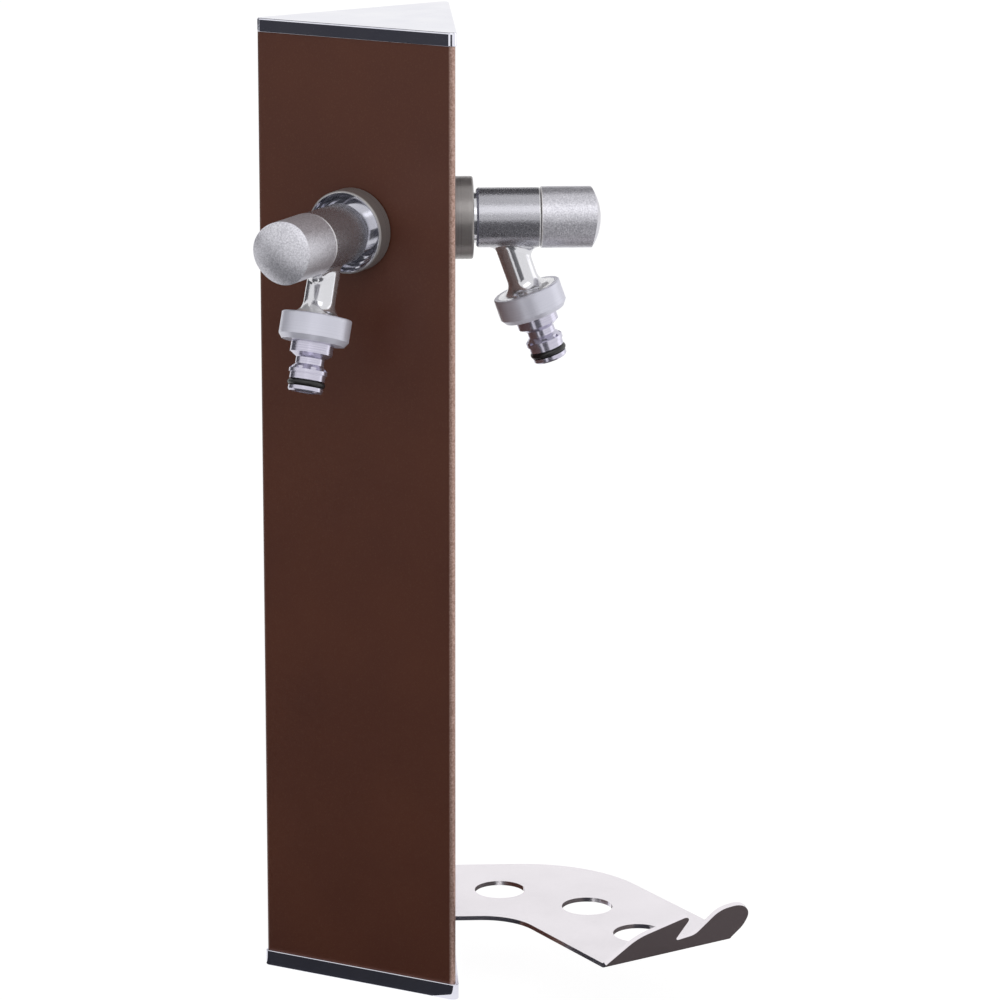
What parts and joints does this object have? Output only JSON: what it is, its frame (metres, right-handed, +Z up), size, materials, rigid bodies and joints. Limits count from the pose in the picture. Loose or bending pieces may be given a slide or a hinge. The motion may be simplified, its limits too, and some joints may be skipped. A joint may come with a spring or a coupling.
{
  "type": "garden standpipe",
  "caption": "Triangular garden water column for a wall, with quarter-turn taps on its front faces, click hose nipples and a bent steel hose holder at its foot.",
  "frame": {"origin": "under the column's axis, on the flat underside of the bottom cap", "axes": "+Z up along the column; +Y out of the flat back face, into the wall; the taps and the hose holder look towards -Y"},
  "size_m": [0.1878, 0.1752, 0.438],
  "materials": {
    "column_coat": "fine-textured satin brown powder coat",
    "cap_chrome": "polished chrome plate",
    "satin_chrome": "bead-blasted satin chrome plate",
    "bright_chrome": "polished chrome plate",
    "holder_steel": "fine satin stainless steel",
    "brass": "machined",
    "rubber": "matt black",
    "ceramic": "lapped",
    "screw_steel": "plain stainless steel",
    "block_aluminium": "as machined"
  },
  "bodies": {
    "standpipe": {"column": "column_coat", "top_cap": "cap_chrome", "bottom_cap": "cap_chrome", "foot_block": "block_aluminium", "cap_screw": "screw_steel", "hose_holder": "holder_steel", "holder_screws": "screw_steel", "holder_nuts": "screw_steel", "manifold": "brass", "near_escutcheon_seal": "rubber", "near_escutcheon": "bright_chrome", "near_tap_body": "satin_chrome", "near_port_washer": "rubber", "near_seat_washer": "rubber", "near_cartridge_housing": "brass", "near_fixed_disc": "ceramic", "near_union_nut": "satin_chrome", "near_nipple_gasket": "rubber", "near_hose_nipple": "bright_chrome", "near_nipple_ring": "rubber", "far_escutcheon_seal": "rubber", "far_escutcheon": "bright_chrome", "far_tap_body": "satin_chrome", "far_port_washer": "rubber", "far_seat_washer": "rubber", "far_cartridge_housing": "brass", "far_fixed_disc": "ceramic", "far_union_nut": "satin_chrome", "far_nipple_gasket": "rubber", "far_hose_nipple": "bright_chrome", "far_nipple_ring": "rubber"},
    "near_tap_handle": {"near_handle": "satin_chrome", "near_spindle": "brass", "near_turning_disc": "ceramic", "near_spindle_ring": "rubber", "near_handle_screw": "screw_steel"},
    "far_tap_handle": {"far_handle": "satin_chrome", "far_spindle": "brass", "far_turning_disc": "ceramic", "far_spindle_ring": "rubber", "far_handle_screw": "screw_steel"}
  },
  "joints": [
    {"name": "near_handle_turn", "type": "hinge", "parent": "standpipe", "child": "near_tap_handle", "pos_m": [-0.0593, -0.03423, 0.3488], "axis": [-0.866, -0.5, 0], "range_deg": [0, 90]},
    {"name": "far_handle_turn", "type": "hinge", "parent": "standpipe", "child": "far_tap_handle", "pos_m": [0.0593, -0.03423, 0.3488], "axis": [0.866, -0.5, 0], "range_deg": [0, 90]}
  ]
}
